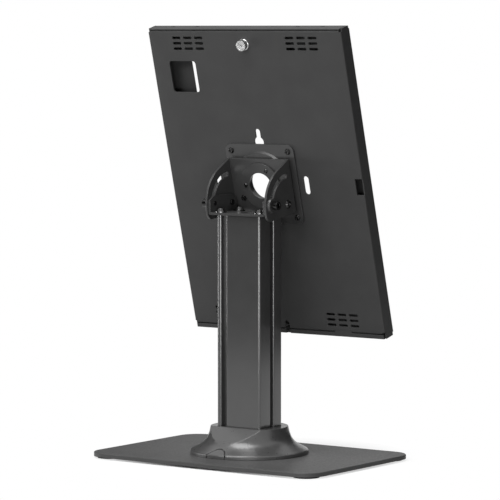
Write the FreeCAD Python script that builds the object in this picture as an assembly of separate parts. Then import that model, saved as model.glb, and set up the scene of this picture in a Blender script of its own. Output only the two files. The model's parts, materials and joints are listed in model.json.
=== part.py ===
import FreeCAD
import Part
import math
import os

from FreeCAD import Vector

# Tablet holder for a counter: a lockable sheet-steel enclosure that tilts and turns on a head,
# carried by an extruded column on a weighted base plate. Sizes are millimetres. +Z is up, the
# screen faces -Y, and the origin is on the table under the centre of the base plate.
#
# The enclosure and its head are drawn upright first, in the enclosure's own axes: x to the right
# seen from the front, y out of the rear face and z up the rear face, from the centre of the
# screw pattern on the rear face. The function lean then stands them on the pivot, tilted back.

# Base plate and feet
plate_width = 300.0
plate_depth = 200.0
plate_thickness = 4.5
plate_corner_radius = 25.0
plate_edge_chamfer = 0.6
foot_radius = 14.0
foot_height = 2.0
foot_inset = 20.0

# Column, an aluminium extrusion with a cable channel and screw ports in its corners
column_width = 57.0
column_depth = 42.5
column_length = 260.0
column_wall = 2.2
column_corner_radius = 2.6
port_offset_x = 25.7
port_offset_y = 17.2
port_radius = 1.9
port_wall = 1.2
rear_groove_offset = 19.3
rear_groove_width = 6.8
rear_groove_depth = 7.5
side_groove_offset = 2.3
side_groove_width = 5.6
side_groove_depth = 6.0
post_round = 2.5
groove_lip_round = 1.3
cable_notch_width = 16.0
cable_notch_height = 14.0

# Moulded cover round the column's foot
cover_height = 29.8
cover_neck_radius = 42.3
cover_neck_slope = 13.5
cover_flange_radius = 64.4
cover_flange_thickness = 3.4
cover_skirt_slope = 27.0
cover_curve_radius = 20.0
cover_curve_steps = 3
cover_edge_chamfer = 1.2
cover_wall = 2.2
cover_facet_offset = 26.0
cover_facet_angle = 55.0
outlet_half_width = 11.6
outlet_height = 9.8
outlet_shoulder = 4.4
outlet_slit = 1.2

# Bent top bracket on the column, with the pivot bolt in front and the slot bolt behind
bracket_sheet = 2.5
top_bracket_width = 74.6
top_bracket_depth = 49.0
top_bracket_height = 21.2
top_bracket_chamfer_y = 8.2
top_bracket_chamfer_z = 5.4
top_bracket_bend = 3.2
top_bracket_cable_hole = 9.0
pivot_height = 12.1
pivot_to_slot_bolt = 31.0

# Tilt bracket, in the enclosure's own axes
tilt_bracket_gap = 0.5
tilt_bracket_front = 5.2
tilt_bracket_top = 30.0
tilt_bracket_bottom = 29.9
tilt_bracket_bend = 2.4
ear_radius = 41.8
ear_tip_round = 8.0
ear_bottom_slope = 5.6
pivot_behind_panel = 19.8
pivot_below_centre = 16.5
rest_tilt = 15.0
least_tilt = 8.0
greatest_tilt = 90.0
slot_end_margin = 0.6
slot_top_margin = 6.0

# Swivel: plate, hub and clamping ring
swivel_plate_size = 90.0
swivel_plate_sheet = 2.4
swivel_plate_corner = 8.0
screw_pattern = 75.0
boss_foot_radius = 37.4
boss_top_radius = 35.2
boss_height = 1.6
hub_radius = 22.6
cable_hole_radius = 17.2
pan_hole_radius = 18.3
ring_radius = 25.8
ring_thickness = 1.9
ring_hole_radius = 14.6
ring_gap = 0.2
ring_screw_offset = 19.8
stop_screw_offset = 30.0
stop_screw_angle = -30.0
swivel_range = 90.0

# Enclosure
case_width = 255.0
case_height = 348.0
case_thickness = 17.5
case_sheet = 1.5
case_bend = 1.7
door_bend = 3.5
door_wall_clearance = 0.5
door_side_clearance = 0.6
door_front_clearance = 0.4
frame_border_side = 41.0
frame_border_end = 38.0
screen_opening_corner = 3.0
end_flange_depth = 10.0
end_notch_width = 2.8
end_notch_depth = 2.7
end_notch_top = 1.6
end_notch_bottom = 2.4
lip_height = 4.8
hook_tab_from_side = 42.9
hook_tab_width = 22.4
hook_tab_rise = 2.6
hook_tab_clearance = 0.4

# Openings in the rear pan
vent_length = 11.3
vent_width = 3.0
vent_pitch_x = 14.9
vent_pitch_z = 6.1
vents_from_side = 52.5
vents_from_end = 14.0
camera_window_size = 35.4
camera_window_corner = 3.5
camera_window_from_side = 40.4
camera_window_from_top = 54.0
keyhole_head_radius = 6.1
keyhole_head_above_centre = 46.8
keyhole_neck_width = 6.2
keyhole_top_above_centre = 61.8
wall_slot_length = 20.6
wall_slot_width = 6.8
wall_slot_left_offset = 54.5
wall_slot_right_offset = 62.5
wall_slot_drop = 0.9
side_notch_width = 9.5
side_notch_height = 18.0
cable_slot_width = 5.8
cable_slot_height = 9.4
top_slot_length = 6.0
top_slot_width = 1.8
top_slots_from_side = 28.5
top_slot_spacing = 32.0
top_slot_depth = 10.0

# Cam lock
lock_below_top = 17.0
lock_radius = 5.8
lock_barrel_radius = 4.9
lock_reach = 6.6
lock_barrel = 7.0
lock_flange_radius = 6.3
lock_flange_thickness = 1.0
lock_plug_radius = 4.1
key_slot_width = 1.2
key_slot_angle = 24.4
lock_nut_size = 14.0
lock_nut_thickness = 2.7
cam_length = 13.0
cam_width = 9.0
cam_thickness = 1.7
cam_rivet_radius = 2.0
catch_width = 20.0
catch_drop = 8.2
catch_face = 6.5

# What holds the tablet inside
tablet_hidden_edge = 6.5
tablet_clearance = 0.4
stop_block_length = 20.0
stop_block_thickness = 5.0
stop_block_height = 12.0
side_stop_share = 0.218
end_stop_share = 0.243
pad_width = 46.0
pad_height = 22.0
pad_thickness = 7.5
pad_share_x = 0.26
pad_share_z = 0.295

# Fasteners: shank radius, then head radius and height where they have one
port_screw_flange = 6.4
port_screw_flange_height = 1.4
port_screw_head = 5.3
port_screw_head_height = 4.6
port_screw_length = 18.0
sunk_head_radius = 4.6
sunk_head_height = 2.5
pivot_shank = 3.0
pivot_head = 4.8
pivot_head_height = 1.8
pivot_tip = 1.6
slot_shank = 2.5
slot_head = 4.7
slot_head_height = 6.6
slot_tip = 0.3
slot_washer_radius = 8.4
slot_washer_top_radius = 7.4
slot_washer_thickness = 2.4
panel_screw_shank = 2.0
panel_screw_head = 3.5
panel_screw_head_height = 2.3
panel_screw_reach = 3.0
ring_screw_shank = 1.5
ring_screw_head = 2.5
ring_screw_head_height = 1.1

# Clearances
running_fit = 0.05
shank_fit = 0.05
slot_play = 0.3
column_fit = 0.3
seam = 0.45

# Derived heights on the stand
plate_bottom = foot_height
plate_top = plate_bottom + plate_thickness
column_top = plate_top + column_length
bracket_top = column_top + bracket_sheet
pivot_z = column_top + pivot_height
pivot_y = -pivot_to_slot_bolt / 2
slot_bolt_y = pivot_to_slot_bolt / 2
port_places = [(sx * port_offset_x, sy * port_offset_y) for sx in (-1, 1) for sy in (-1, 1)]

# Derived places across the head, on its right half
top_ear_outer = top_bracket_width / 2
top_ear_inner = top_ear_outer - bracket_sheet
tilt_ear_inner = top_ear_outer + tilt_bracket_gap
tilt_ear_outer = tilt_ear_inner + bracket_sheet

# Derived layers out of the rear face
boss_top = swivel_plate_sheet + boss_height
tilt_plate_back = tilt_bracket_front + bracket_sheet
ring_front = tilt_plate_back + ring_gap
ring_back = ring_front + ring_thickness

# Derived edges of the enclosure
half_width = case_width / 2
half_height = case_height / 2
door_reach = half_width - case_sheet - door_wall_clearance
screen_opening_width = case_width - 2 * frame_border_side
screen_opening_height = case_height - 2 * frame_border_end
tablet_width = screen_opening_width + 2 * tablet_hidden_edge
tablet_height = screen_opening_height + 2 * tablet_hidden_edge
lock_height = half_height - lock_below_top
hook_tab_outer = half_width - hook_tab_from_side
hook_tab_inner = hook_tab_outer - hook_tab_width
door_inner_top = half_height - case_sheet
pan_top = door_inner_top - door_side_clearance
lip_top = -half_height + lip_height
pan_bottom = lip_top + door_side_clearance
door_back = -(case_thickness - case_sheet)
pan_front = door_back + door_front_clearance
pivot_local = Vector(0, pivot_behind_panel, -pivot_below_centre)


# Drawing helpers: flat outlines are drawn in the XY plane


def polar(centre, radius, angle):
    a = math.radians(angle)
    return centre + Vector(radius * math.cos(a), radius * math.sin(a), 0)


def arc(centre, radius, start, end):
    middle = (start + end) / 2
    ends = [polar(centre, radius, a) for a in (start, middle, end)]
    return Part.Arc(*ends).toShape()


def line(start, end):
    return Part.LineSegment(start, end).toShape()


def outline(edges):
    return Part.Face(Part.Wire(Part.__sortEdges__(edges)))


def polygon(points):
    return Part.Face(Part.makePolygon(points + points[:1]))


def rounded_rectangle(width, height, radius, centre=Vector()):
    x = width / 2 - radius
    y = height / 2 - radius
    corners = [Vector(x, y, 0), Vector(-x, y, 0), Vector(-x, -y, 0), Vector(x, -y, 0)]
    edges = []
    for i, corner in enumerate(corners):
        after = corners[(i + 1) % 4]
        edges.append(arc(centre + corner, radius, 90 * i, 90 * i + 90))
        edges.append(line(polar(centre + corner, radius, 90 * i + 90),
                          polar(centre + after, radius, 90 * i + 90)))
    return outline(edges)


def obround(length, width, centre, upright=False):
    radius = width / 2
    reach = length / 2 - radius
    turn = 90 if upright else 0
    ends = [polar(centre, reach, turn), polar(centre, reach, turn + 180)]
    return outline([arc(ends[0], radius, turn - 90, turn + 90),
                    line(polar(ends[0], radius, turn + 90), polar(ends[1], radius, turn + 90)),
                    arc(ends[1], radius, turn + 90, turn + 270),
                    line(polar(ends[1], radius, turn - 90), polar(ends[0], radius, turn - 90))])


def clipped_slot(length, width, centre):
    """A narrow punched slot whose ends are clipped at the corners."""
    x = length / 2
    y = width / 2
    clip = width * 0.3
    corners = [(x, y - clip), (x - clip, y), (clip - x, y), (-x, y - clip)]
    corners += [(-a, -b) for a, b in corners]
    return polygon([centre + Vector(a, b, 0) for a, b in corners])


def arc_slot(radius, half, start, end, centre=Vector()):
    near = polar(centre, radius, start)
    far = polar(centre, radius, end)
    return outline([arc(centre, radius + half, start, end),
                    arc(far, half, end, end + 180),
                    arc(centre, radius - half, end, start),
                    arc(near, half, start + 180, start + 360)])


def disc(radius, centre=Vector()):
    return Part.Face(Part.Wire(Part.makeCircle(radius, centre)))


def hexagon(across, centre=Vector(), turn=0):
    radius = across / math.sqrt(3)
    return polygon([polar(centre, radius, turn + 60 * i) for i in range(6)])


def upward(face, low, high):
    """A prism of a flat outline between two heights."""
    face = face.translated(Vector(0, 0, low))
    return face.extrude(Vector(0, 0, high - low))


def outward(face, front, back):
    """A prism of an outline drawn as x and z, between two depths along y."""
    face = face.rotated(Vector(), Vector(1, 0, 0), 90).translated(Vector(0, front, 0))
    return face.extrude(Vector(0, back - front, 0))


def sideways(face, left, right):
    """A prism of an outline drawn as z and y, between two places along x."""
    face = face.rotated(Vector(), Vector(0, 1, 0), -90).translated(Vector(left, 0, 0))
    return face.extrude(Vector(right - left, 0, 0))


def box(x, y, z):
    """A box from three pairs of low and high values."""
    size = [high - low for low, high in (x, y, z)]
    return Part.makeBox(*size, Vector(x[0], y[0], z[0]))


def rod(radius, start, end):
    """A round bar from one point to another."""
    axis = end - start
    return Part.makeCylinder(radius, axis.Length, start, axis)


def tube(outer, inner, start, end):
    return rod(outer, start, end).cut(rod(inner, start, end))


def turned(points, start, axis):
    """A solid turned from a profile of radius and distance along the axis."""
    profile = polygon([Vector(r, 0, along) for r, along in points])
    solid = profile.revolve(Vector(), Vector(0, 0, 1), 360)
    solid.Placement = FreeCAD.Placement(start, FreeCAD.Rotation(Vector(0, 0, 1), axis))
    return solid


def button(radius, height, start, axis):
    """A low button head, sloped from its rim to its crown."""
    return Part.makeCone(radius, radius * 0.7, height, start, axis)


def socket(across, depth, start, axis):
    """The hexagon recess for a key, cut inwards from start against axis."""
    recess = hexagon(across).extrude(Vector(0, 0, depth))
    recess.Placement = FreeCAD.Placement(start, FreeCAD.Rotation(Vector(0, 0, 1), -axis))
    return recess


def mirrored(shape):
    return shape.mirror(Vector(), Vector(1, 0, 0))


def both_sides(shape):
    """Two separate solids, one on each side of the middle."""
    return Part.makeCompound([shape, mirrored(shape)])


def half_turn(shape):
    return shape.rotated(Vector(), Vector(0, 0, 1), 180)


def edges_at(solid, direction, test):
    """Straight edges along a direction whose middle passes the test."""
    found = []
    for edge in solid.Edges:
        if edge.Curve.TypeId != "Part::GeomLine":
            continue
        along = edge.tangentAt(edge.FirstParameter)
        if along.cross(direction).Length < 1e-6 and test(edge.CenterOfMass):
            found.append(edge)
    return found


def near(a, b):
    return abs(a - b) < 1e-4


def lean(shape, tilt=rest_tilt):
    """Stands a shape drawn in the enclosure's own axes on the pivot, tilted back."""
    pivot = Vector(0, pivot_y, pivot_z)
    return shape.translated(pivot - pivot_local).rotated(pivot, Vector(1, 0, 0), -tilt)


# Stand


def base_plate():
    face = rounded_rectangle(plate_width, plate_depth, plate_corner_radius)
    plate = upward(face, plate_bottom, plate_top)
    rims = [e for e in plate.Edges if near(e.CenterOfMass.z, plate_top)]
    plate = plate.makeChamfer(plate_edge_chamfer, rims)
    holes = []
    for x, y in port_places:
        start = Vector(x, y, plate_bottom)
        holes.append(rod(port_radius + shank_fit, start, Vector(x, y, plate_top)))
        holes.append(sunk_head(running_fit).translated(start))
    return plate.cut(Part.makeCompound(holes))


def sunk_head(extra):
    """The flat head of a screw from below, or its recess when larger by extra."""
    return Part.makeCylinder(sunk_head_radius + extra, sunk_head_height + extra)


def rubber_feet():
    x = plate_width / 2 - foot_inset
    y = plate_depth / 2 - foot_inset
    return Part.makeCompound([Part.makeCylinder(foot_radius, foot_height, Vector(sx * x, sy * y, 0))
                              for sx in (-1, 1) for sy in (-1, 1)])


def column_screws():
    screws = []
    for x, y in port_places:
        start = Vector(x, y, plate_bottom)
        end = Vector(x, y, plate_top + port_screw_length)
        shank = rod(port_radius - shank_fit, start, end)
        screws.append(shank.fuse(sunk_head(0).translated(start)).removeSplitter())
    return Part.makeCompound(screws)


def groove(width, depth, offset, wide, margin=0.0):
    """A groove in the face that looks along +Y at the distance wide from the middle."""
    return box((offset - width / 2 - margin, offset + width / 2 + margin),
               (wide - depth - margin, wide),
               (0, column_length))


def column_grooves(margin=0.0):
    rear = groove(rear_groove_width, rear_groove_depth, rear_groove_offset,
                  column_depth / 2, margin)
    side = groove(side_groove_width, side_groove_depth, -side_groove_offset,
                  column_width / 2, margin)
    side = side.rotated(Vector(), Vector(0, 0, 1), 90)
    return [rear, side, half_turn(rear), half_turn(side)]


def column():
    skin = rounded_rectangle(column_width, column_depth, column_corner_radius)
    skin = upward(skin, 0, column_length)
    hollow = rounded_rectangle(column_width - 2 * column_wall, column_depth - 2 * column_wall,
                               column_wall / 2)
    shell = skin.cut(upward(hollow, 0, column_length))
    posts = [upward(disc(port_radius + port_wall + column_wall, Vector(x, y, 0)), 0, column_length)
             for x, y in port_places]
    ribs = Part.makeCompound(posts + column_grooves(column_wall * 0.8))
    body = shell.multiFuse(ribs.Solids).common(skin)
    body = body.cut(Part.makeCompound(column_grooves())).removeSplitter()
    up = Vector(0, 0, 1)

    def is_post(p):
        on_rear = near(abs(p.y), column_depth / 2)
        return on_rear and near(abs(p.x), rear_groove_offset + rear_groove_width / 2)

    def is_lip(p):
        on_rear = near(abs(p.y), column_depth / 2)
        on_side = near(abs(p.x), column_width / 2)
        beside_rear = near(abs(p.x), rear_groove_offset - rear_groove_width / 2)
        beside_side = near(abs(abs(p.y) - side_groove_offset), side_groove_width / 2)
        beside_side = beside_side or near(abs(p.y) + side_groove_offset, side_groove_width / 2)
        return (on_rear and beside_rear) or (on_side and beside_side)

    body = body.makeFillet(post_round, edges_at(body, up, is_post))
    body = body.makeFillet(groove_lip_round, edges_at(body, up, is_lip))
    ports = [upward(disc(port_radius, Vector(x, y, 0)), 0, column_length)
             for x, y in port_places]
    notch = outward(rounded_rectangle(cable_notch_width, cable_notch_height * 2, 3.0),
                    column_depth / 2 - column_wall * 2, column_depth)
    body = body.cut(Part.makeCompound(ports + [notch]))
    return body.translated(Vector(0, 0, plate_top))


def cover_body(inset, steps):
    """The cover's outer form, or the hollow inside it when inset by its wall."""
    neck = cover_neck_radius - inset
    rim = cover_flange_radius - inset
    top = cover_height - inset
    rise = cover_flange_thickness - inset / 2
    edge = cover_edge_chamfer
    shoulder = Vector(rim - edge * 0.7, rise + edge, 0)
    steep = math.radians(cover_neck_slope)
    low = math.radians(cover_skirt_slope)
    lean_in = math.tan(steep)
    fall = math.tan(low)
    height = shoulder.y + (shoulder.x - neck - top * lean_in) * fall
    height /= 1 - lean_in * fall
    corner = Vector(neck + (top - height) * lean_in, height, 0)
    turn = 90 - cover_neck_slope - cover_skirt_slope
    radius = cover_curve_radius + inset
    reach = radius * math.tan(math.radians(turn / 2))
    leave = corner + Vector(math.cos(low), -math.sin(low), 0) * reach
    centre = leave + Vector(math.sin(low), math.cos(low), 0) * radius
    start = 270 - cover_skirt_slope
    curve = [polar(centre, radius, start - turn * i / steps) for i in range(steps + 1)]
    points = [Vector(), Vector(rim, 0, 0), Vector(rim, rise, 0), shoulder]
    points += curve + [Vector(neck, top, 0), Vector(0, top, 0)]
    profile = polygon(points).rotated(Vector(), Vector(1, 0, 0), 90)
    form = profile.revolve(Vector(), Vector(0, 0, 1), 360)
    facet_top = Vector(0, cover_facet_offset - inset, cover_height)
    slab = box((-200, 200), (0, 200), (-cover_height, 200))
    slab = slab.rotated(Vector(), Vector(1, 0, 0), cover_facet_angle).translated(facet_top)
    return form.cut(slab)


def outlet_arch(shrink):
    """The doorway for the cable at the back of the cover, as a prism along Y."""
    half = outlet_half_width - shrink
    top = outlet_height - shrink
    shoulder = outlet_shoulder - shrink
    crown = Vector(0, top, 0)
    left = Vector(-half, shoulder, 0)
    right = Vector(half, shoulder, 0)
    face = outline([line(Vector(-half, -1, 0), left),
                    Part.Arc(left, crown, right).toShape(),
                    line(right, Vector(half, -1, 0)),
                    line(Vector(half, -1, 0), Vector(-half, -1, 0))])
    return outward(face, column_depth, plate_depth)


def cover_shell():
    hollow = cover_body(cover_wall, cover_curve_steps - 1)
    return cover_body(0, cover_curve_steps).cut(hollow)


def base_cover():
    hole = rounded_rectangle(column_width + 2 * column_fit, column_depth + 2 * column_fit,
                             column_corner_radius + column_fit)
    hole = upward(hole, -1, cover_height + 1)
    cover = cover_shell().cut(hole).cut(outlet_arch(0))
    edges = (outlet_half_width - seam, outlet_half_width - seam + outlet_slit)
    for side in (-1, 1):
        slit = box(sorted(side * x for x in edges), (column_depth, plate_depth),
                   (-1, cover_flange_thickness + cover_edge_chamfer))
        cover = cover.cut(slit)
    return cover.translated(Vector(0, 0, plate_top))


def cable_outlet_tab():
    tab = cover_shell().common(outlet_arch(seam))
    tab = tab.cut(box((-200, 200), (-200, 200), (-10, 0)))
    return tab.translated(Vector(0, 0, plate_top))


def top_bracket():
    half = top_ear_outer
    ear_top = column_top + top_bracket_height
    outside = box((-half, half), (-top_bracket_depth / 2, top_bracket_depth / 2),
                  (column_top, ear_top))
    bends = edges_at(outside, Vector(0, 1, 0), lambda p: near(p.z, column_top))
    outside = outside.makeFillet(top_bracket_bend, bends)
    inner = top_ear_inner
    inside = box((-inner, inner), (-top_bracket_depth, top_bracket_depth),
                 (bracket_top, ear_top + 1))
    bends = edges_at(inside, Vector(0, 1, 0), lambda p: near(p.z, bracket_top))
    inside = inside.makeFillet(top_bracket_bend - bracket_sheet, bends)
    bracket = outside.cut(inside)
    back = top_bracket_depth / 2
    corner = polygon([Vector(ear_top + 1, back - top_bracket_chamfer_y, 0),
                      Vector(ear_top, back - top_bracket_chamfer_y, 0),
                      Vector(ear_top - top_bracket_chamfer_z, back, 0),
                      Vector(ear_top - top_bracket_chamfer_z, back + 1, 0),
                      Vector(ear_top + 1, back + 1, 0)])
    chamfer = sideways(corner, -half - 1, half + 1)
    front = chamfer.mirror(Vector(), Vector(0, 1, 0))
    cuts = [chamfer, front]
    cuts.append(rod(top_bracket_cable_hole, Vector(0, 0, column_top), Vector(0, 0, bracket_top)))
    for x, y in port_places:
        cuts.append(rod(port_radius + shank_fit, Vector(x, y, column_top),
                        Vector(x, y, bracket_top)))
    for y, radius in ((pivot_y, pivot_shank), (slot_bolt_y, slot_shank)):
        cuts.append(rod(radius + shank_fit, Vector(-half, y, pivot_z), Vector(half, y, pivot_z)))
    return bracket.cut(Part.makeCompound(cuts))


def bracket_screws():
    screws = []
    up = Vector(0, 0, 1)
    for x, y in port_places:
        seat = Vector(x, y, bracket_top)
        profile = [(0, 0), (port_screw_flange, 0), (port_screw_flange, port_screw_flange_height),
                   (port_screw_head, port_screw_flange_height),
                   (port_screw_head * 0.7, port_screw_head_height), (0, port_screw_head_height)]
        head = turned(profile, seat, up)
        tip = Vector(x, y, column_top - port_screw_length)
        shank = rod(port_radius - shank_fit, tip, seat)
        top = seat + up * port_screw_head_height
        key = socket(port_screw_head * 0.6, port_screw_head_height * 0.5, top, up)
        screws.append(head.fuse(shank).cut(key))
    return Part.makeCompound(screws)


def pivot_bolts():
    x = Vector(1, 0, 0)
    centre = Vector(0, pivot_y, pivot_z)
    seat = centre + x * (tilt_ear_outer + running_fit)
    inner = centre + x * (top_ear_inner - pivot_tip)
    bolt = rod(pivot_shank, inner, seat).fuse(button(pivot_head, pivot_head_height, seat, x))
    key = socket(pivot_head * 0.8, pivot_head_height * 0.8, seat + x * pivot_head_height, x)
    return both_sides(bolt.cut(key))


def slot_bolts():
    x = Vector(1, 0, 0)
    centre = Vector(0, slot_bolt_y, pivot_z)
    seat = centre + x * (tilt_ear_outer + running_fit + slot_washer_thickness)
    inner = centre + x * (top_ear_inner - slot_tip)
    end = seat + x * slot_head_height
    bolt = rod(slot_shank, inner, seat).fuse(rod(slot_head, seat, end))
    return both_sides(bolt.cut(socket(slot_head, slot_head_height * 0.55, end, x)))


def slot_washers():
    """Thick washers under the bolt heads, sloped towards the head."""
    x = Vector(1, 0, 0)
    centre = Vector(tilt_ear_outer + running_fit, slot_bolt_y, pivot_z)
    end = centre + x * slot_washer_thickness
    washer = Part.makeCone(slot_washer_radius, slot_washer_top_radius, slot_washer_thickness,
                           centre, x)
    return both_sides(washer.cut(rod(slot_shank + shank_fit, centre, end)))


# Tilting head


def ear_outline():
    """One ear as z and y: a sector round the pivot with a rounded tip."""
    pivot = Vector(pivot_local.z, pivot_local.y, 0)
    front = tilt_bracket_front
    apex = Vector(tilt_bracket_top, tilt_plate_back, 0)
    to_apex = apex - pivot
    apex_angle = math.degrees(math.atan2(to_apex.y, to_apex.x))
    touch = apex_angle + math.degrees(math.acos(ear_radius / to_apex.Length))
    slope = math.radians(ear_bottom_slope)
    along = Vector(math.sin(slope), math.cos(slope), 0)
    inward = Vector(math.cos(slope), -math.sin(slope), 0)
    foot = Vector(-tilt_bracket_bottom, front, 0)
    lifted = foot + inward * ear_tip_round - pivot
    ahead = lifted.dot(along)
    reach = (ear_radius - ear_tip_round) ** 2 - lifted.dot(lifted) + ahead ** 2
    run = -ahead + math.sqrt(reach)
    tip = foot + along * run + inward * ear_tip_round
    tip_angle = math.degrees(math.atan2(tip.y - pivot.y, tip.x - pivot.x))
    leave_angle = 180 - ear_bottom_slope
    return outline([line(foot, Vector(tilt_bracket_top, front, 0)),
                    line(Vector(tilt_bracket_top, front, 0), apex),
                    line(apex, polar(pivot, ear_radius, touch)),
                    arc(pivot, ear_radius, touch, tip_angle),
                    arc(tip, ear_tip_round, tip_angle, leave_angle),
                    line(foot + along * run, foot)])


def tilt_bracket():
    pivot = Vector(pivot_local.z, pivot_local.y, 0)
    ear = sideways(ear_outline(), tilt_ear_inner, tilt_ear_outer)
    plate = box((-tilt_ear_outer, tilt_ear_outer), (tilt_bracket_front, tilt_plate_back),
                (-tilt_bracket_bottom, tilt_bracket_top))
    bracket = plate.multiFuse([ear, mirrored(ear)]).removeSplitter()

    def is_bend(p):
        return near(abs(p.x), tilt_ear_outer) and near(p.y, tilt_bracket_front)

    bracket = bracket.makeFillet(tilt_bracket_bend, edges_at(bracket, Vector(0, 0, 1), is_bend))
    first = 90 - greatest_tilt - slot_top_margin
    last = 90 - least_tilt + slot_end_margin
    slot = arc_slot(pivot_to_slot_bolt, slot_shank + slot_play, first, last, pivot)
    reach = tilt_ear_outer + 1
    cuts = [sideways(slot, -reach, reach)]
    cuts.append(sideways(disc(pivot_shank + running_fit, pivot), -reach, reach))
    cuts.append(outward(disc(hub_radius + running_fit), tilt_bracket_front, tilt_plate_back))
    stop = polar(Vector(), stop_screw_offset, stop_screw_angle)
    cuts.append(outward(disc(panel_screw_shank + shank_fit, stop), tilt_bracket_front,
                        tilt_plate_back))
    return bracket.cut(Part.makeCompound(cuts))


def on_panel(x, z, y):
    return Vector(x, y, z)


def panel_screw(x, z, seat, tip, shank, head, height):
    """A button-head screw that goes in along -y."""
    out = Vector(0, 1, 0)
    start = on_panel(x, z, seat)
    screw = button(head, height, start, out).fuse(rod(shank, on_panel(x, z, tip), start))
    return screw.cut(socket(head * 0.7, height * 0.5, start + out * height, out))


def stop_screw():
    place = polar(Vector(), stop_screw_offset, stop_screw_angle)
    tip = boss_height + shank_fit
    return panel_screw(place.x, place.y, tilt_plate_back, tip, panel_screw_shank,
                       panel_screw_head, panel_screw_head_height)


# Swivel, turning with the enclosure


def pattern_places():
    half = screw_pattern / 2
    return [(sx * half, sz * half) for sx in (-1, 1) for sz in (-1, 1)]


def swivel_plate():
    size = swivel_plate_size
    plate = outward(rounded_rectangle(size, size, swivel_plate_corner), 0, swivel_plate_sheet)
    out = Vector(0, 1, 0)
    boss = Part.makeCone(boss_foot_radius, boss_top_radius, boss_height,
                         out * swivel_plate_sheet, out)
    hub = rod(hub_radius, out * 0, out * ring_front)
    plate = plate.multiFuse([boss, hub]).removeSplitter()
    cuts = [rod(cable_hole_radius, out * -1, out * (ring_front + 1))]
    for x, z in pattern_places():
        cuts.append(rod(panel_screw_shank + shank_fit, on_panel(x, z, -1),
                        on_panel(x, z, swivel_plate_sheet + 1)))
    slot = arc_slot(stop_screw_offset, panel_screw_shank + slot_play, stop_screw_angle,
                    stop_screw_angle + swivel_range)
    cuts.append(outward(slot, 0, boss_top + 1))
    for place in ring_screw_places():
        cuts.append(outward(disc(ring_screw_shank + shank_fit, place), boss_height, ring_front))
    return plate.cut(Part.makeCompound(cuts))


def ring_screw_places():
    return [polar(Vector(), ring_screw_offset, angle) for angle in (0, 120, 240)]


def swivel_ring():
    out = Vector(0, 1, 0)
    ring = tube(ring_radius, ring_hole_radius, out * ring_front, out * ring_back)
    holes = [outward(disc(ring_screw_shank + shank_fit, place), ring_front, ring_back)
             for place in ring_screw_places()]
    return ring.cut(Part.makeCompound(holes))


def ring_screws():
    return Part.makeCompound([panel_screw(p.x, p.y, ring_back, boss_height + 1, ring_screw_shank,
                                          ring_screw_head, ring_screw_head_height)
                              for p in ring_screw_places()])


def swivel_screws():
    tip = -case_sheet - panel_screw_reach
    return Part.makeCompound([panel_screw(x, z, swivel_plate_sheet, tip, panel_screw_shank,
                                          panel_screw_head, panel_screw_head_height)
                              for x, z in pattern_places()])


# Enclosure: the rear pan carries the side walls, the door carries the end walls and the lip


def vent_outlines():
    vents = []
    for side_x in (-1, 1):
        for middle in (pan_top - vents_from_end, pan_bottom + vents_from_end):
            for i in (-1, 0, 1):
                for j in (-1, 0, 1):
                    x = side_x * (half_width - vents_from_side) + i * vent_pitch_x
                    z = middle + j * vent_pitch_z
                    vents.append(clipped_slot(vent_length, vent_width, Vector(x, z, 0)))
    return vents


def keyhole_outline():
    half = keyhole_neck_width / 2
    top = keyhole_top_above_centre - half
    dip = math.sqrt(keyhole_head_radius ** 2 - half ** 2)
    side = math.degrees(math.atan2(dip, half))
    head = Vector(0, keyhole_head_above_centre, 0)
    return outline([arc(Vector(0, top, 0), half, 0, 180),
                    line(Vector(-half, top, 0), Vector(-half, keyhole_head_above_centre + dip, 0)),
                    arc(head, keyhole_head_radius, 180 - side, 360 + side),
                    line(Vector(half, keyhole_head_above_centre + dip, 0), Vector(half, top, 0))])


def cable_slot_outline():
    half = cable_slot_width / 2
    top = pan_bottom + cable_slot_height - half
    low = -half_height - 1
    return outline([arc(Vector(0, top, 0), half, 0, 180),
                    line(Vector(-half, top, 0), Vector(-half, low, 0)),
                    line(Vector(-half, low, 0), Vector(half, low, 0)),
                    line(Vector(half, low, 0), Vector(half, top, 0))])


def side_outline():
    """The enclosure seen from its side, as z and y, with the door's two bends in front."""
    low = Vector(-half_height, 0, 0)
    high = Vector(half_height, 0, 0)
    reach = half_height - door_bend
    front = door_bend - case_thickness
    under = Vector(-reach, front, 0)
    over = Vector(reach, front, 0)
    return outline([line(low, high),
                    line(high, polar(over, door_bend, 0)),
                    arc(over, door_bend, -90, 0),
                    line(polar(over, door_bend, 270), polar(under, door_bend, 270)),
                    arc(under, door_bend, 180, 270),
                    line(polar(under, door_bend, 180), low)])


def pan_channel():
    """The rear face with the two side walls, which run the full height of the enclosure."""
    radius = case_bend
    x = half_width - radius
    inner = half_width - case_sheet
    front = pan_front
    right = Vector(x, -radius, 0)
    left = Vector(-x, -radius, 0)
    face = outline([line(Vector(-x, 0, 0), Vector(x, 0, 0)),
                    arc(right, radius, 0, 90),
                    line(Vector(half_width, -radius, 0), Vector(half_width, front, 0)),
                    line(Vector(half_width, front, 0), Vector(inner, front, 0)),
                    line(Vector(inner, front, 0), Vector(inner, -case_sheet, 0)),
                    line(Vector(inner, -case_sheet, 0), Vector(-inner, -case_sheet, 0)),
                    line(Vector(-inner, -case_sheet, 0), Vector(-inner, front, 0)),
                    line(Vector(-inner, front, 0), Vector(-half_width, front, 0)),
                    line(Vector(-half_width, front, 0), Vector(-half_width, -radius, 0)),
                    arc(left, radius, 90, 180)])
    channel = upward(face, -half_height, half_height)
    return channel.common(sideways(side_outline(), -half_width, half_width))


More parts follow.
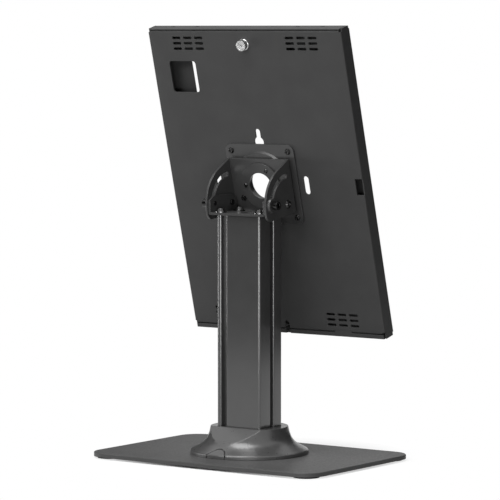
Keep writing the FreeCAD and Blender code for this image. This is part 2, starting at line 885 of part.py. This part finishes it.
def end_flange(edge, side):
    """The short flange folded in at the upper or lower end of the rear face."""
    bend = Vector(edge - side * case_bend, -case_bend, 0)
    outer = Vector(edge, -case_bend, 0)
    middle = polar(bend, case_bend, 45 if side > 0 else 135)
    rear = Vector(edge - side * case_bend, 0, 0)
    deep = -end_flange_depth
    inner = edge - side * case_sheet
    start = edge - side * case_bend * 3
    face = outline([line(Vector(start, 0, 0), rear),
                    Part.Arc(rear, middle, outer).toShape(),
                    line(outer, Vector(edge, deep, 0)),
                    line(Vector(edge, deep, 0), Vector(inner, deep, 0)),
                    line(Vector(inner, deep, 0), Vector(inner, -case_sheet, 0)),
                    line(Vector(inner, -case_sheet, 0), Vector(start, -case_sheet, 0)),
                    line(Vector(start, -case_sheet, 0), Vector(start, 0, 0))])
    reach = half_width - end_notch_width
    return sideways(face, -reach, reach)


def pan_shell():
    """The folded rear pan before it is punched."""
    far = half_width + 1
    cuts = []
    for low, high in ((pan_top - case_bend, half_height + 1),
                      (-half_height - 1, pan_bottom + case_bend)):
        cuts.append(box((-far, far), (-case_bend, 1), (low, high)))
    corners = []
    for low, high in ((pan_top - end_notch_top, half_height + 1),
                      (-half_height - 1, pan_bottom + end_notch_bottom)):
        for side in (-1, 1):
            across = sorted((side * (half_width - end_notch_width), side * far))
            corners.append(box(across, (-end_notch_depth, 1), (low, high)))
    channel = pan_channel().cut(Part.makeCompound(cuts))
    shell = channel.multiFuse([end_flange(pan_top, 1), end_flange(pan_bottom, -1)])
    shell = shell.removeSplitter().cut(Part.makeCompound(corners))
    catch_half = catch_width / 2 + hook_tab_clearance * 4
    return shell.cut(box((-catch_half, catch_half), (pan_front - 1, -case_bend),
                         (pan_top - case_bend - case_sheet, pan_top + 1)))


def hook_spans(extra):
    """The two stretches of x that the door's hook tabs take."""
    inner = hook_tab_inner - extra
    outer = hook_tab_inner + hook_tab_width + extra
    return [(-outer, -inner), (inner, outer)]


def rear_pan():
    flat = vent_outlines() + [keyhole_outline(), cable_slot_outline()]
    window = Vector(half_width - camera_window_from_side, half_height - camera_window_from_top, 0)
    flat.append(rounded_rectangle(camera_window_size, camera_window_size, camera_window_corner,
                                  window))
    for x in (-wall_slot_left_offset, wall_slot_right_offset):
        flat.append(obround(wall_slot_length, wall_slot_width, Vector(x, -wall_slot_drop, 0),
                            upright=True))
    flat.append(disc(pan_hole_radius))
    flat.append(disc(lock_barrel_radius + shank_fit, Vector(0, lock_height, 0)))
    for x, z in pattern_places():
        flat.append(disc(panel_screw_shank + shank_fit, Vector(x, z, 0)))
    cuts = [outward(face, -case_sheet - 1, 1) for face in flat]
    cuts.append(box((-half_width - 1, -half_width + side_notch_width), (-case_bend, 1),
                    (-side_notch_height / 2 - wall_slot_drop,
                     side_notch_height / 2 - wall_slot_drop)))
    for span in hook_spans(hook_tab_clearance):
        cuts.append(box(span, (pan_front - 1, 1), (pan_bottom - 1, lip_top + hook_tab_rise
                                                   + hook_tab_clearance / 2)))
    slot = cable_slot_width / 2 + 1
    cuts.append(box((-slot, slot), (pan_front - 1, -case_sheet), (pan_bottom - 1,
                                                                 pan_bottom + case_bend)))
    return pan_shell().cut(Part.makeCompound(cuts))


def door():
    """The front frame, bent back above and below, with the lip that closes the lower edge."""
    inner_bend = door_bend - case_sheet
    hollow = box((-door_reach - 1, door_reach + 1), (door_back, 1),
                 (-door_inner_top, door_inner_top))
    hollow = hollow.makeFillet(inner_bend, edges_at(hollow, Vector(1, 0, 0),
                                                    lambda p: near(p.y, door_back)))
    body = sideways(side_outline(), -door_reach, door_reach).cut(hollow)
    body = body.cut(box((-half_width, half_width), (-door_front_clearance, 1),
                        (door_inner_top - 1, half_height + 1)))
    solids = [box((-door_reach, door_reach), (-case_sheet, 0), (-half_height, lip_top))]
    for span in hook_spans(0):
        solids.append(box(span, (-case_sheet, 0), (lip_top, lip_top + hook_tab_rise)))
    straight = half_height - door_bend
    for side in (-1, 1):
        across = sorted((side * (door_reach - 1), side * half_width))
        solids.append(box(across, (-case_thickness, door_back), (-straight, straight)))
    body = body.multiFuse(solids).removeSplitter()

    def is_front_edge(p):
        return near(p.y, -case_thickness) and near(abs(p.x), half_width)

    def is_lower_fold(p):
        return near(p.y, 0) and near(p.z, -half_height)

    body = body.makeChamfer(case_sheet * 0.4, edges_at(body, Vector(0, 0, 1), is_front_edge))
    body = body.makeChamfer(case_sheet * 0.4, edges_at(body, Vector(1, 0, 0), is_lower_fold))
    window = rounded_rectangle(screen_opening_width, screen_opening_height,
                               screen_opening_corner)
    cuts = [outward(window, -case_thickness - 1, door_back + 1),
            outward(cable_slot_outline(), -2.0, 1)]
    outer = half_width - top_slots_from_side
    for x in (-outer, top_slot_spacing - outer, outer - top_slot_spacing, outer):
        slot = obround(top_slot_length, top_slot_width, Vector(x, -top_slot_depth, 0))
        cuts.append(upward(slot, door_inner_top - 1, half_height + 1))
    return body.cut(Part.makeCompound(cuts))


def door_catch():
    """The bent strip under the door's top wall that the lock's cam holds."""
    half = catch_width / 2
    back = -catch_face + case_sheet
    hanger = box((-half, half), (-catch_face, back), (door_inner_top - catch_drop,
                                                      door_inner_top))
    foot = box((-half, half), (-catch_face * 2, back), (door_inner_top - case_sheet,
                                                        door_inner_top))
    return hanger.fuse(foot).removeSplitter()


# Cam lock


def lock_point(y):
    return on_panel(0, lock_height, y)


def lock_housing():
    flange = rod(lock_flange_radius, lock_point(0), lock_point(lock_flange_thickness))
    nose = rod(lock_radius, lock_point(0), lock_point(lock_reach))
    barrel = rod(lock_barrel_radius, lock_point(-lock_barrel), lock_point(0))
    body = flange.multiFuse([nose, barrel]).removeSplitter()
    bore = rod(lock_plug_radius, lock_point(-lock_barrel - 1), lock_point(lock_reach + 1))
    return body.cut(bore)


def lock_nut():
    back = -case_sheet
    centre = Vector(0, lock_height, 0)
    nut = outward(hexagon(lock_nut_size, centre, 30), back - lock_nut_thickness, back)
    return nut.cut(rod(lock_barrel_radius + shank_fit, lock_point(pan_front), lock_point(0)))


def lock_plug():
    """The plug with its keyway, and the rivet that carries the cam."""
    radius = lock_plug_radius - running_fit
    face = lock_reach - 0.4
    plug = rod(radius, lock_point(-lock_barrel), lock_point(face))
    half = radius * 0.72
    key = box((-half, half), (face - 3.5, face + 1),
              (lock_height - key_slot_width / 2, lock_height + key_slot_width / 2))
    key = key.rotated(lock_point(0), Vector(0, 1, 0), -key_slot_angle)
    rivet = rod(cam_rivet_radius, lock_point(-lock_barrel - cam_thickness * 1.5),
                lock_point(-lock_barrel))
    return plug.fuse(rivet).removeSplitter().cut(key)


def lock_cam():
    centre = Vector(0, lock_height, 0)
    half = cam_width / 2
    tip = half * 0.5
    end = cam_length - tip
    arm = outline([arc(centre, half, -90, 90),
                   line(centre + Vector(0, half, 0), centre + Vector(-end, half, 0)),
                   arc(centre + Vector(-end, half - tip, 0), tip, 90, 180),
                   line(centre + Vector(-cam_length, half - tip, 0),
                        centre + Vector(-cam_length, tip - half, 0)),
                   arc(centre + Vector(-end, tip - half, 0), tip, 180, 270),
                   line(centre + Vector(-end, -half, 0), centre + Vector(0, -half, 0))])
    cam = outward(arm, -lock_barrel - cam_thickness, -lock_barrel)
    return cam.cut(rod(cam_rivet_radius + shank_fit, lock_point(pan_front), lock_point(0)))


# What the tablet lies between


def edge_stops():
    """Eight rubber blocks glued to the rear panel round the tablet's edge."""
    x_edge = tablet_width / 2 + tablet_clearance
    z_edge = tablet_height / 2 + tablet_clearance
    depth = (-case_sheet - stop_block_height, -case_sheet)
    half = stop_block_length / 2
    blocks = []
    for sx in (-1, 1):
        for sz in (-1, 1):
            across = sorted((sx * x_edge, sx * (x_edge + stop_block_thickness)))
            z = sz * side_stop_share * tablet_height
            blocks.append(box(across, depth, (z - half, z + half)))
            above = sorted((sz * z_edge, sz * (z_edge + stop_block_thickness)))
            x = sx * end_stop_share * tablet_width
            blocks.append(box((x - half, x + half), depth, above))
    return Part.makeCompound(blocks)


def foam_pads():
    x_far = pad_share_x * tablet_width
    z_far = pad_share_z * tablet_height
    pads = []
    for x in (-x_far, x_far):
        for z in (-z_far, z_far):
            pads.append(box((x - pad_width / 2, x + pad_width / 2),
                            (-case_sheet - pad_thickness, -case_sheet),
                            (z - pad_height / 2, z + pad_height / 2)))
    return Part.makeCompound(pads)


upright_parts = {
    "base_plate": base_plate,
    "rubber_feet": rubber_feet,
    "column_screws": column_screws,
    "column": column,
    "base_cover": base_cover,
    "cable_outlet_tab": cable_outlet_tab,
    "top_bracket": top_bracket,
    "bracket_screws": bracket_screws,
    "pivot_bolts": pivot_bolts,
    "slot_bolts": slot_bolts,
    "slot_washers": slot_washers,
}

leaning_parts = {
    "tilt_bracket": tilt_bracket,
    "stop_screw": stop_screw,
    "swivel_plate": swivel_plate,
    "swivel_screws": swivel_screws,
    "swivel_ring": swivel_ring,
    "ring_screws": ring_screws,
    "rear_pan": rear_pan,
    "front_door": door,
    "door_catch": door_catch,
    "lock_housing": lock_housing,
    "lock_nut": lock_nut,
    "lock_plug": lock_plug,
    "lock_cam": lock_cam,
    "edge_stops": edge_stops,
    "foam_pads": foam_pads,
}


def main():
    os.makedirs("parts", exist_ok=True)
    for name, make in upright_parts.items():
        make().exportStep(f"parts/{name}.step")
    for name, make in leaning_parts.items():
        lean(make()).exportStep(f"parts/{name}.step")


main()
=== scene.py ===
import json
import math

import bpy
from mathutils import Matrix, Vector

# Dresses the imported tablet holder: finishes for every piece, a pale studio and the camera.
# Lengths are metres in the frame's axes: +Z up, the screen faces -Y, the view is from behind.

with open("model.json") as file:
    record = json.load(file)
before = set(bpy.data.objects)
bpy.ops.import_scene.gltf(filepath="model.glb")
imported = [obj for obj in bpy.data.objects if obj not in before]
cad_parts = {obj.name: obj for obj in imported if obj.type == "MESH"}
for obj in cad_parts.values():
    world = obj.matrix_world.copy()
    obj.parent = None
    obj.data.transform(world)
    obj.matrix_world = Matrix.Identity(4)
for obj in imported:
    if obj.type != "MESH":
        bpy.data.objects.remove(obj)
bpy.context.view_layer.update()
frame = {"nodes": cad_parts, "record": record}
nodes = frame["nodes"]


# Camera, fitted to the corners in the photograph and scaled by the 75 mm screw pattern
camera_azimuth = math.radians(215.41)
camera_elevation = math.radians(4.068)
camera_distance = 3.3619
camera_target = Vector((0.0, -0.001, 0.2282))
camera_lens = 222.7
camera_sensor = 36.0
camera_reach = 20.0

# Colours, as sRGB shares of one
case_grey = 0.25
bracket_grey = 0.24
column_grey = 0.245
base_grey = 0.285
cover_grey = 0.255
black_oxide = 0.05
rubber_black = 0.11
foam_black = 0.14
nickel = 0.88
zinc = 0.72
floor_white = 0.96

# Linear light that the floor and the black cards throw back
floor_bounce = 0.2
card_bounce = 0.01

# Noise in the finishes, which lies mostly within its span
noise_span = (0.3, 0.7)
noise_detail = 3.0

# Samples that round the shading of sharp edges
edge_samples = 6

# Smooth shading: edges that bend by more than this stay sharp, and so does the border of the
# cover's slope, a flat face whose normal rises from +Y by the facet's tilt
smooth_bend = math.radians(20)
facet_tilt = math.radians(55)
flat_faces = {"base_cover": (0, math.cos(facet_tilt), math.sin(facet_tilt))}
weld_distance = 1e-6
same_direction = 0.9998

# An edge takes the mean of its two faces, which is this where only one of them is flat
border_mean = 0.5
border_tolerance = 0.3

# Backdrop and floor: the shadow is whole up to its core and gone at its reach
backdrop_light = 0.2
floor_half_width = 6.0
floor_roughness = 0.9
shadow_reach = 0.19
shadow_core = shadow_reach * 0.5

# Low strips of light round the stand: azimuth in degrees, width in metres, power in watts
low_strips = ((20, 0.5, 4.0), (122, 0.8, 5.0))
strip_distance = 1.3
strip_middle = 0.14
strip_height = 0.24
object_middle = (0, 0, 0.2)

# Black cards round the set
card_start = 1.1
card_radius = 2.4
card_lift = 0.002
card_top = 1.8
upper_card_bottom = 0.75
card_steps = 24


# Colours and node trees


def linear(value):
    """The linear light of an sRGB share."""
    if value <= 0.04045:
        return value / 12.92
    return ((value + 0.055) / 1.055) ** 2.4


def plain(level):
    return (level, level, level, 1.0)


def grey(value):
    return plain(linear(value))


class Wires:
    """A node tree, with short ways to add nodes and join them."""

    def __init__(self, tree):
        self.tree = tree

    def node(self, kind, **settings):
        made = self.tree.nodes.new(kind)
        for name, value in settings.items():
            setattr(made, name, value)
        return made

    def link(self, source, target):
        self.tree.links.new(source, target)

    def maths(self, operation, *values):
        """A Math node, whose values are numbers or other nodes' outputs."""
        made = self.node("ShaderNodeMath", operation=operation)
        for value, socket in zip(values, made.inputs):
            if isinstance(value, (int, float)):
                socket.default_value = value
            else:
                self.link(value, socket)
        return made.outputs[0]

    def map_range(self, value, before=(0.0, 1.0), after=(0.0, 1.0)):
        """Maps a value from one range onto another, and holds it at the ends."""
        ramp = self.node("ShaderNodeMapRange")
        for label, level in zip(("From Min", "From Max", "To Min", "To Max"), before + after):
            ramp.inputs[label].default_value = level
        self.link(value, ramp.inputs["Value"])
        return ramp.outputs["Result"]

    def mix_colours(self, first, second, share):
        mix = self.node("ShaderNodeMix", data_type="RGBA")
        mix.inputs["A"].default_value = first
        mix.inputs["B"].default_value = second
        self.link(share, mix.inputs["Factor"])
        return mix.outputs["Result"]

    def noise(self, place, size, stretch=(1, 1, 1)):
        """Noise whose features are about size metres across."""
        mapping = self.node("ShaderNodeMapping")
        mapping.inputs["Scale"].default_value = stretch
        self.link(place, mapping.inputs["Vector"])
        noise = self.node("ShaderNodeTexNoise")
        noise.inputs["Scale"].default_value = 1 / size
        noise.inputs["Detail"].default_value = noise_detail
        self.link(mapping.outputs["Vector"], noise.inputs["Vector"])
        return noise.outputs["Fac"]

    def seen_directly(self):
        """1 for rays that show the backdrop itself or its reflection, 0 for rays that light."""
        path = self.node("ShaderNodeLightPath")
        either = self.maths("MAXIMUM", path.outputs["Is Camera Ray"],
                            path.outputs["Is Glossy Ray"])
        return self.maths("MAXIMUM", either, path.outputs["Is Transmission Ray"])


def new_material(name):
    """A new material, its node tree and its shader."""
    material = bpy.data.materials.new(name)
    material.use_nodes = True
    return material, Wires(material.node_tree), material.node_tree.nodes["Principled BSDF"]


# Finishes


def finish(name, shade, contrast, mottle, rough, rough_size, grain, depth, edge=0.0,
           metal=0.0, specular=0.5, stretch=(1, 1, 1)):
    """A finish whose colour, roughness and relief come from noise in the object's own space.
    The colour varies between the shade times each value of contrast, in mottles of the given
    size, and the roughness between the values of rough. The relief has the given grain and
    depth, and edge is the radius by which the shading rounds sharp edges."""
    material, wires, shader = new_material(name)
    place = wires.node("ShaderNodeTexCoord").outputs["Object"]
    mottles = wires.map_range(wires.noise(place, mottle), noise_span)
    dark, light = (grey(shade * share) for share in contrast)
    wires.link(wires.mix_colours(dark, light, mottles), shader.inputs["Base Color"])
    roughness = wires.map_range(wires.noise(place, rough_size, stretch), noise_span, rough)
    wires.link(roughness, shader.inputs["Roughness"])
    relief = wires.node("ShaderNodeBump")
    relief.inputs["Distance"].default_value = depth
    relief.inputs["Strength"].default_value = 1.0
    wires.link(wires.noise(place, grain), relief.inputs["Height"])
    if edge:
        rounding = wires.node("ShaderNodeBevel", samples=edge_samples)
        rounding.inputs["Radius"].default_value = edge
        wires.link(rounding.outputs["Normal"], relief.inputs["Normal"])
    wires.link(relief.outputs["Normal"], shader.inputs["Normal"])
    shader.inputs["Metallic"].default_value = metal
    shader.inputs["Specular IOR Level"].default_value = specular
    return material


def powder_coat(name, shade, grain=0.0006, rough=(0.42, 0.52), depth=0.00003, edge=0.0005,
                specular=0.18):
    """Satin powder coat: a fine orange-peel relief and a faint mottling."""
    return finish(name, shade, contrast=(0.97, 1.03), mottle=0.03, rough=rough,
                  rough_size=grain * 4, grain=grain, depth=depth, edge=edge,
                  specular=specular)


def plated(name, shade, rough=(0.18, 0.32)):
    """Plated metal with fine turning marks."""
    return finish(name, shade, contrast=(0.94, 1.0), mottle=0.004, rough=rough,
                  rough_size=0.0004, grain=0.0002, depth=0.000004, edge=0.0002,
                  metal=1.0, stretch=(1, 1, 0.15))


def oxide(name, shade, specular=0.5):
    """Black oxide on small hardware: dark, slightly oily and speckled."""
    return finish(name, shade, contrast=(0.85, 1.15), mottle=0.0008, rough=(0.1, 0.15),
                  rough_size=0.0005, grain=0.0003, depth=0.000002, edge=0.0004,
                  specular=specular)


def rubber(name, shade, cell=0.0005, depth=0.00004):
    """Matt rubber or foam, whose cells are about the given size."""
    return finish(name, shade, contrast=(0.9, 1.15), mottle=cell * 3, rough=(0.72, 0.9),
                  rough_size=cell * 2, grain=cell, depth=depth, edge=0.0005, specular=0.3)


def moulded(name, shade):
    """Moulded plastic with a fine spark-eroded texture."""
    return finish(name, shade, contrast=(0.98, 1.02), mottle=0.012, rough=(0.27, 0.31),
                  rough_size=0.006, grain=0.0004, depth=0.000002, edge=0.0012,
                  specular=0.7)


slot_finishes = {
    "base_paint": powder_coat("base_coat", base_grey),
    "column_paint": powder_coat("column_coat", column_grey, rough=(0.16, 0.2),
                                depth=0.0000008, edge=0.0, specular=0.8),
    "case_paint": powder_coat("case_coat", case_grey, grain=0.0008),
    "bracket_paint": powder_coat("bracket_coat", bracket_grey, rough=(0.28, 0.3),
                                 depth=0.000003, specular=0.45),
    "cover_plastic": moulded("cover_plastic", cover_grey),
    "black_screw": oxide("black_oxide", black_oxide),
    "zinc": plated("zinc_plate", zinc, rough=(0.32, 0.45)),
    "lock_metal": plated("nickel_plate", nickel),
    "black_rubber": rubber("rubber", rubber_black),
    "black_foam": rubber("foam", foam_black, cell=0.0012, depth=0.0003),
}

own_finishes = {"bracket_screws": oxide("glossy_oxide", black_oxide, specular=1.0)}


def dress_nodes():
    """Gives every CAD node its own finish, or else that of its material slot."""
    slots = {s["node"]: s["material_slot"] for s in frame["record"]["subparts"]}
    for name, node in nodes.items():
        node.data.materials.clear()
        node.data.materials.append(own_finishes.get(name, slot_finishes[slots[name]]))


def crease_tree(flat_normal):
    """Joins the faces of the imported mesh, then creases the edges that bend sharply and those
    round a face that looks along flat_normal."""
    tree = bpy.data.node_groups.new("creases", "GeometryNodeTree")
    tree.is_modifier = True
    for way in ("INPUT", "OUTPUT"):
        tree.interface.new_socket("Geometry", in_out=way, socket_type="NodeSocketGeometry")
    wires = Wires(tree)
    start = wires.node("NodeGroupInput")
    weld = wires.node("GeometryNodeMergeByDistance")
    weld.inputs["Distance"].default_value = weld_distance
    wires.link(start.outputs[0], weld.inputs["Geometry"])
    bend = wires.node("GeometryNodeInputMeshEdgeAngle").outputs["Unsigned Angle"]
    along = wires.node("ShaderNodeVectorMath", operation="DOT_PRODUCT")
    wires.link(wires.node("GeometryNodeInputNormal").outputs[0], along.inputs[0])
    along.inputs[1].default_value = flat_normal
    is_flat = wires.maths("GREATER_THAN", along.outputs["Value"], same_direction)
    on_faces = wires.node("GeometryNodeFieldOnDomain", domain="FACE", data_type="FLOAT")
    wires.link(is_flat, on_faces.inputs[0])
    border = wires.maths("COMPARE", on_faces.outputs[0], border_mean, border_tolerance)
    sharp = wires.maths("GREATER_THAN", bend, smooth_bend)
    shade = wires.node("GeometryNodeSetShadeSmooth", domain="EDGE")
    wires.link(weld.outputs["Geometry"], shade.inputs["Geometry"])
    wires.link(wires.maths("MAXIMUM", border, sharp), shade.inputs["Selection"])
    shade.inputs["Shade Smooth"].default_value = False
    end = wires.node("NodeGroupOutput")
    wires.link(shade.outputs["Geometry"], end.inputs[0])
    return tree


def smooth_round_faces():
    """Rounds the shading of curved faces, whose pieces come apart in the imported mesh."""
    by_bend_alone = crease_tree((0, 0, 0))
    for name, node in nodes.items():
        node.data.polygons.foreach_set("use_smooth", [True] * len(node.data.polygons))
        creases = node.modifiers.new("creases", "NODES")
        creases.node_group = by_bend_alone
        if name in flat_faces:
            creases.node_group = crease_tree(flat_faces[name])


# Studio


def place_in_scene(name, data):
    thing = bpy.data.objects.new(name, data)
    bpy.context.scene.collection.objects.link(thing)
    return thing


def area_light(name, place, size, power, aim=object_middle):
    lamp = bpy.data.lights.new(name, "AREA")
    lamp.shape = "RECTANGLE"
    lamp.size, lamp.size_y = size
    lamp.energy = power
    light = place_in_scene(name, lamp)
    light.location = place
    light.rotation_euler = (Vector(aim) - Vector(place)).to_track_quat("-Z", "Y").to_euler()
    return light


def light_the_set():
    area_light("overhead", place=(0.1, 0.6, 2.1), size=(1.3, 1.3), power=38)
    fill = area_light("fill", place=(0.4, -2.2, 1.5), size=(1.4, 1.2), power=38)
    fill.visible_glossy = False
    area_light("behind", place=(0.36, 2.05, 1.2), size=(1.4, 0.7), power=21)
    for azimuth, width, power in low_strips:
        turn = math.radians(azimuth)
        place = (strip_distance * math.cos(turn), strip_distance * math.sin(turn),
                 strip_middle)
        area_light(f"low_strip_{azimuth}", place, (width, strip_height), power,
                   aim=(0, 0, strip_middle))


def make_backdrop():
    """A world that looks white and lights the object softly."""
    world = bpy.data.worlds.new("studio")
    world.use_nodes = True
    bpy.context.scene.world = world
    wires = Wires(world.node_tree)
    background = world.node_tree.nodes["Background"]
    background.inputs["Color"].default_value = plain(1)
    strength = wires.map_range(wires.seen_directly(), after=(backdrop_light, 1.0))
    wires.link(strength, background.inputs["Strength"])


def floor_material():
    """White floor: it keeps the shadow near the stand and fades to plain white further out."""
    material, wires, paint = new_material("floor")
    seen = wires.seen_directly()
    colour = wires.mix_colours(plain(floor_bounce), grey(floor_white), seen)
    wires.link(colour, paint.inputs["Base Color"])
    paint.inputs["Roughness"].default_value = floor_roughness
    paint.inputs["Specular IOR Level"].default_value = 0.0
    glow = wires.node("ShaderNodeEmission")
    distance = wires.node("ShaderNodeVectorMath", operation="LENGTH")
    wires.link(wires.node("ShaderNodeTexCoord").outputs["Object"], distance.inputs[0])
    fade = wires.map_range(distance.outputs["Value"], before=(shadow_core, shadow_reach))
    mix = wires.node("ShaderNodeMixShader")
    wires.link(wires.maths("MULTIPLY", fade, seen), mix.inputs["Fac"])
    wires.link(paint.outputs["BSDF"], mix.inputs[1])
    wires.link(glow.outputs["Emission"], mix.inputs[2])
    output = material.node_tree.nodes["Material Output"]
    wires.link(mix.outputs["Shader"], output.inputs["Surface"])
    return material


def make_floor():
    mesh = bpy.data.meshes.new("floor")
    signs = ((-1, -1), (1, -1), (1, 1), (-1, 1))
    corners = [(x * floor_half_width, y * floor_half_width, 0) for x, y in signs]
    mesh.from_pydata(corners, [], [(0, 1, 2, 3)])
    floor = place_in_scene("floor", mesh)
    mesh.materials.append(floor_material())


def dark_card(name, azimuths, profile):
    """A black card between two azimuths in degrees, whose profile is radii and heights. It
    keeps reflections of the floor and the backdrop off the object."""
    low, high = azimuths
    count = card_steps + 1
    angles = [math.radians(low + (high - low) * i / card_steps) for i in range(count)]
    points = [(r * math.cos(a), r * math.sin(a), z) for r, z in profile for a in angles]
    faces = [(i, i + 1, i + 1 + count, i + count)
             for row in range(len(profile) - 1)
             for i in range(row * count, row * count + card_steps)]
    mesh = bpy.data.meshes.new(name)
    mesh.from_pydata(points, [], faces)
    black, _, shader = new_material(name)
    shader.inputs["Base Color"].default_value = plain(card_bounce)
    shader.inputs["Roughness"].default_value = 1.0
    shader.inputs["Specular IOR Level"].default_value = 0.0
    mesh.materials.append(black)
    card = place_in_scene(name, mesh)
    card.visible_camera = False


def make_cards():
    """Cards on both sides, over the floor and up, and a raised one beside the fill light."""
    on_floor_and_up = ((card_start, card_lift), (card_radius, card_lift),
                       (card_radius, card_top))
    raised = ((card_radius, upper_card_bottom), (card_radius, card_top))
    dark_card("side_card", azimuths=(-51, 70), profile=on_floor_and_up)
    dark_card("far_side_card", azimuths=(190, 284), profile=on_floor_and_up)
    dark_card("upper_card", azimuths=(-76, -51), profile=raised)


def make_camera():
    data = bpy.data.cameras.new("camera")
    data.lens = camera_lens
    data.sensor_width = camera_sensor
    data.clip_end = camera_reach
    camera = place_in_scene("camera", data)
    flat = math.cos(camera_elevation)
    back = Vector((math.sin(camera_azimuth) * flat, -math.cos(camera_azimuth) * flat,
                   math.sin(camera_elevation)))
    camera.location = camera_target + back * camera_distance
    camera.rotation_mode = "QUATERNION"
    camera.rotation_quaternion = (-back).to_track_quat("-Z", "Y")
    bpy.context.scene.camera = camera


dress_nodes()
smooth_round_faces()
make_backdrop()
make_floor()
light_the_set()
make_cards()
make_camera()
bpy.context.scene.view_settings.view_transform = "Standard"
